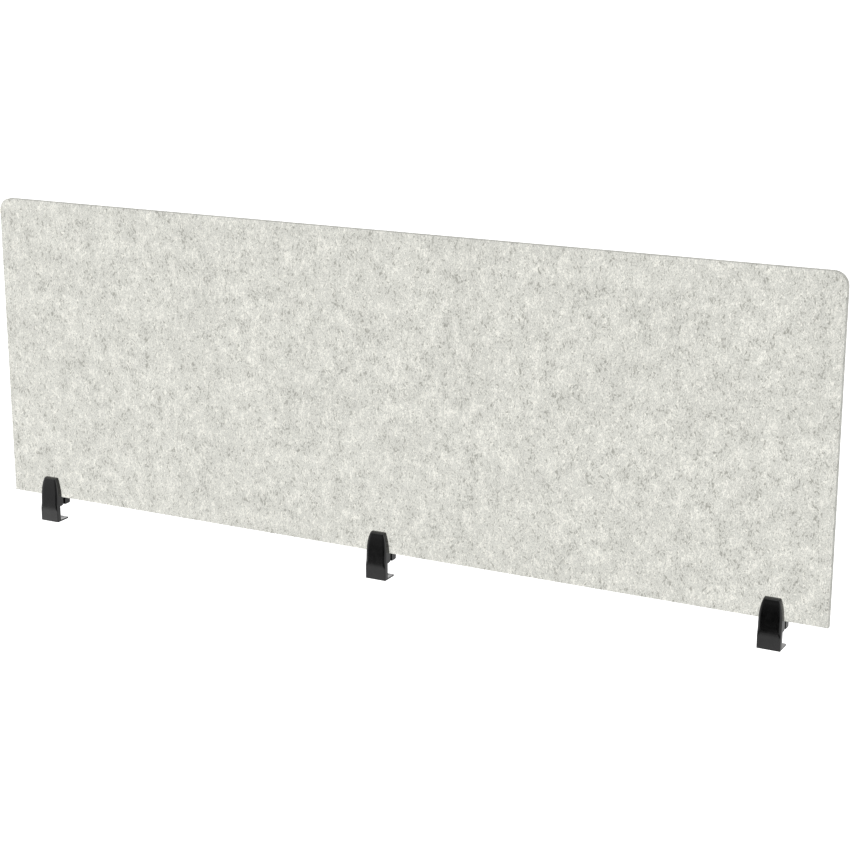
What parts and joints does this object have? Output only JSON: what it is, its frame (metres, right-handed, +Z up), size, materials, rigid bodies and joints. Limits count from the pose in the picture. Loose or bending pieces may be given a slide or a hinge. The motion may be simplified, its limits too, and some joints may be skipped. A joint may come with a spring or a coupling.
{
  "type": "desk privacy panel",
  "caption": "Long low felt screen board gripped along its lower edge by black hook brackets that clamp over a desk's edge.",
  "frame": {"origin": "on the desk top's surface, under the middle bracket's seat, in line with the felt board's front face and at mid-length", "axes": "+X along the board, to the right as seen from the shield side; +Y in over the desk top; +Z up"},
  "size_m": [1.7, 0.0427, 0.6533],
  "materials": {
    "felt": "light heathered needle felt, matt",
    "black_coat": "fine semi-gloss black powder coat",
    "black_rubber": "matt black rubber",
    "black_steel": "black oxide, satin",
    "bright_steel": "ground steel",
    "nylon": "black nylon"
  },
  "bodies": {
    "root": {"felt_board": "felt", "left_bracket": "black_coat", "left_shield_pad": "black_rubber", "left_seat_pad": "black_rubber", "left_guide_pins": "bright_steel", "centre_bracket": "black_coat", "centre_shield_pad": "black_rubber", "centre_seat_pad": "black_rubber", "centre_guide_pins": "bright_steel", "right_bracket": "black_coat", "right_shield_pad": "black_rubber", "right_seat_pad": "black_rubber", "right_guide_pins": "bright_steel"},
    "left_jaw": {"left_rear_jaw": "black_coat", "left_jaw_pad": "black_rubber", "left_screw_washer": "black_steel"},
    "left_screw": {"left_clamp_screw": "black_steel", "left_retaining_ring": "black_steel"},
    "left_tip_1": {"left_foot_screw_tip_1": "nylon"},
    "left_foot_screw_1": {"left_foot_screw_1": "black_steel"},
    "left_tip_2": {"left_foot_screw_tip_2": "nylon"},
    "left_foot_screw_2": {"left_foot_screw_2": "black_steel"},
    "centre_jaw": {"centre_rear_jaw": "black_coat", "centre_jaw_pad": "black_rubber", "centre_screw_washer": "black_steel"},
    "centre_screw": {"centre_clamp_screw": "black_steel", "centre_retaining_ring": "black_steel"},
    "centre_tip_1": {"centre_foot_screw_tip_1": "nylon"},
    "centre_foot_screw_1": {"centre_foot_screw_1": "black_steel"},
    "centre_tip_2": {"centre_foot_screw_tip_2": "nylon"},
    "centre_foot_screw_2": {"centre_foot_screw_2": "black_steel"},
    "right_jaw": {"right_rear_jaw": "black_coat", "right_jaw_pad": "black_rubber", "right_screw_washer": "black_steel"},
    "right_screw": {"right_clamp_screw": "black_steel", "right_retaining_ring": "black_steel"},
    "right_tip_1": {"right_foot_screw_tip_1": "nylon"},
    "right_foot_screw_1": {"right_foot_screw_1": "black_steel"},
    "right_tip_2": {"right_foot_screw_tip_2": "nylon"},
    "right_foot_screw_2": {"right_foot_screw_2": "black_steel"}
  },
  "joints": [
    {"name": "left_jaw_slide", "type": "slide", "parent": "root", "child": "left_jaw", "axis": [0, 1, 0], "range_m": [0, 0.004]},
    {"name": "left_clamp_screw_turn", "type": "hinge", "parent": "left_jaw", "child": "left_screw", "pos_m": [-0.7544, 0, 0.011], "axis": [0, 1, 0], "range_deg": [0, 1800]},
    {"name": "left_tip_1_rise", "type": "slide", "parent": "root", "child": "left_tip_1", "axis": [0, 0, 1], "range_m": [0, 0.004]},
    {"name": "left_foot_screw_1_turn", "type": "hinge", "parent": "left_tip_1", "child": "left_foot_screw_1", "pos_m": [-0.7654, 0.0115, -0.03], "axis": [0, 0, 1], "range_deg": [0, 1440]},
    {"name": "left_tip_2_rise", "type": "slide", "parent": "root", "child": "left_tip_2", "axis": [0, 0, 1], "range_m": [0, 0.004]},
    {"name": "left_foot_screw_2_turn", "type": "hinge", "parent": "left_tip_2", "child": "left_foot_screw_2", "pos_m": [-0.7434, 0.0115, -0.03], "axis": [0, 0, 1], "range_deg": [0, 1440]},
    {"name": "centre_jaw_slide", "type": "slide", "parent": "root", "child": "centre_jaw", "axis": [0, 1, 0], "range_m": [0, 0.004]},
    {"name": "centre_clamp_screw_turn", "type": "hinge", "parent": "centre_jaw", "child": "centre_screw", "pos_m": [0, 0, 0.011], "axis": [0, 1, 0], "range_deg": [0, 1800]},
    {"name": "centre_tip_1_rise", "type": "slide", "parent": "root", "child": "centre_tip_1", "axis": [0, 0, 1], "range_m": [0, 0.004]},
    {"name": "centre_foot_screw_1_turn", "type": "hinge", "parent": "centre_tip_1", "child": "centre_foot_screw_1", "pos_m": [-0.011, 0.0115, -0.03], "axis": [0, 0, 1], "range_deg": [0, 1440]},
    {"name": "centre_tip_2_rise", "type": "slide", "parent": "root", "child": "centre_tip_2", "axis": [0, 0, 1], "range_m": [0, 0.004]},
    {"name": "centre_foot_screw_2_turn", "type": "hinge", "parent": "centre_tip_2", "child": "centre_foot_screw_2", "pos_m": [0.011, 0.0115, -0.03], "axis": [0, 0, 1], "range_deg": [0, 1440]},
    {"name": "right_jaw_slide", "type": "slide", "parent": "root", "child": "right_jaw", "axis": [0, 1, 0], "range_m": [0, 0.004]},
    {"name": "right_clamp_screw_turn", "type": "hinge", "parent": "right_jaw", "child": "right_screw", "pos_m": [0.7544, 0, 0.011], "axis": [0, 1, 0], "range_deg": [0, 1800]},
    {"name": "right_tip_1_rise", "type": "slide", "parent": "root", "child": "right_tip_1", "axis": [0, 0, 1], "range_m": [0, 0.004]},
    {"name": "right_foot_screw_1_turn", "type": "hinge", "parent": "right_tip_1", "child": "right_foot_screw_1", "pos_m": [0.7434, 0.0115, -0.03], "axis": [0, 0, 1], "range_deg": [0, 1440]},
    {"name": "right_tip_2_rise", "type": "slide", "parent": "root", "child": "right_tip_2", "axis": [0, 0, 1], "range_m": [0, 0.004]},
    {"name": "right_foot_screw_2_turn", "type": "hinge", "parent": "right_tip_2", "child": "right_foot_screw_2", "pos_m": [0.7654, 0.0115, -0.03], "axis": [0, 0, 1], "range_deg": [0, 1440]}
  ],
  "couplings": [
    {"joint": "left_clamp_screw_turn", "follows": "left_jaw_slide", "rad_per_m": 7854},
    {"joint": "left_foot_screw_1_turn", "follows": "left_tip_1_rise", "rad_per_m": 6283.2},
    {"joint": "left_foot_screw_2_turn", "follows": "left_tip_2_rise", "rad_per_m": 6283.2},
    {"joint": "centre_clamp_screw_turn", "follows": "centre_jaw_slide", "rad_per_m": 7854},
    {"joint": "centre_foot_screw_1_turn", "follows": "centre_tip_1_rise", "rad_per_m": 6283.2},
    {"joint": "centre_foot_screw_2_turn", "follows": "centre_tip_2_rise", "rad_per_m": 6283.2},
    {"joint": "right_clamp_screw_turn", "follows": "right_jaw_slide", "rad_per_m": 7854},
    {"joint": "right_foot_screw_1_turn", "follows": "right_tip_1_rise", "rad_per_m": 6283.2},
    {"joint": "right_foot_screw_2_turn", "follows": "right_tip_2_rise", "rad_per_m": 6283.2}
  ]
}
